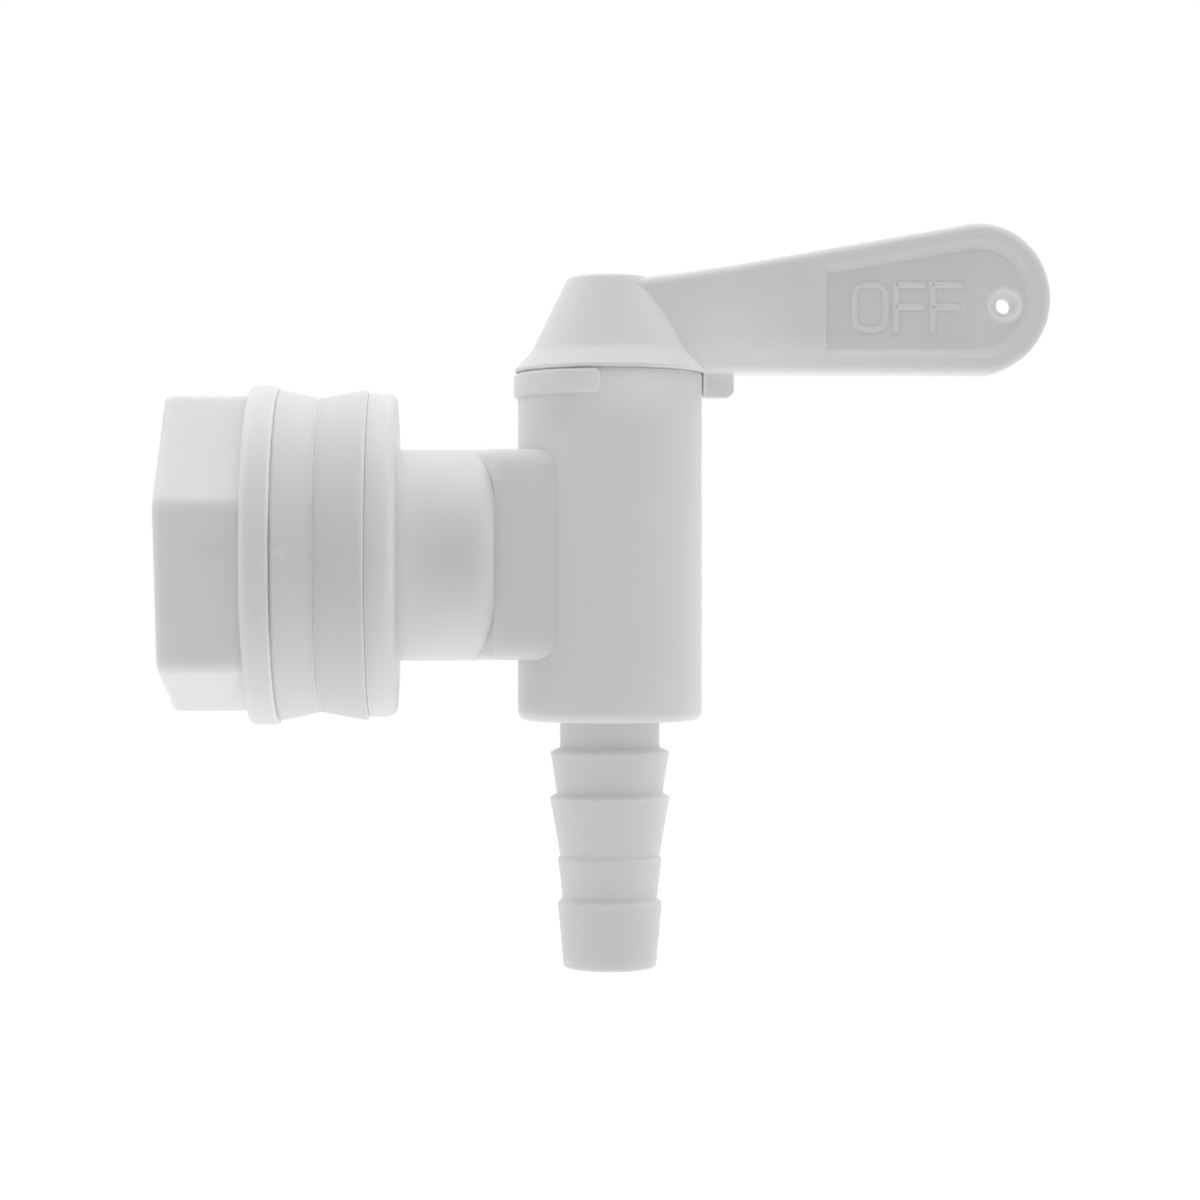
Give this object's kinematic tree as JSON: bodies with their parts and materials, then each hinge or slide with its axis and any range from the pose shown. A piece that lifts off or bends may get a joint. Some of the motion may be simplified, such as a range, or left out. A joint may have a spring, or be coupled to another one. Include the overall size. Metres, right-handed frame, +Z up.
{
  "type": "fermenter tap",
  "caption": "Plastic fermenter tap: flanged shank with sealing washers and a hexagonal back nut, a barrel with a lever-turned hollow plug, and a barbed hose spout.",
  "frame": {"origin": "on the shank's axis, in the plane where the two washers meet at the vessel wall", "axes": "+X along the shank, out of the vessel towards the barrel and the lever's end; +Z up along the barrel; the spout points to -Z"},
  "size_m": [0.11, 0.0422, 0.093],
  "materials": {
    "body_plastic": "moulded natural white polypropylene, satin",
    "lever_plastic": "moulded natural white polypropylene, satin",
    "nut_plastic": "moulded natural white polypropylene, satin with handling scuffs",
    "washer_rubber": "soft white silicone rubber, matt",
    "seal_rubber": "dark nitrile rubber, matt"
  },
  "bodies": {
    "tap": {"tap_body": "body_plastic", "outer_washer": "washer_rubber"},
    "lever": {"lever_plug": "lever_plastic", "upper_ring_seal": "seal_rubber", "lower_ring_seal": "seal_rubber"},
    "washer": {"inner_washer": "washer_rubber"},
    "nut": {"back_nut": "nut_plastic"}
  },
  "joints": [
    {"name": "lever_turn", "type": "hinge", "parent": "tap", "child": "lever", "pos_m": [0.03594, 0, 0], "axis": [0, 0, 1], "range_deg": [-90, 90]},
    {"name": "nut_travel", "type": "slide", "parent": "tap", "child": "washer", "axis": [-1, 0, 0], "range_m": [0, 0.0109]},
    {"name": "nut_turn", "type": "hinge", "parent": "washer", "child": "nut", "pos_m": [-0.0051, 0, 0], "axis": [-1, 0, 0], "range_deg": [0, 2160]}
  ],
  "couplings": [
    {"joint": "nut_travel", "follows": "nut_turn", "m_per_rad": 0.00028871}
  ]
}
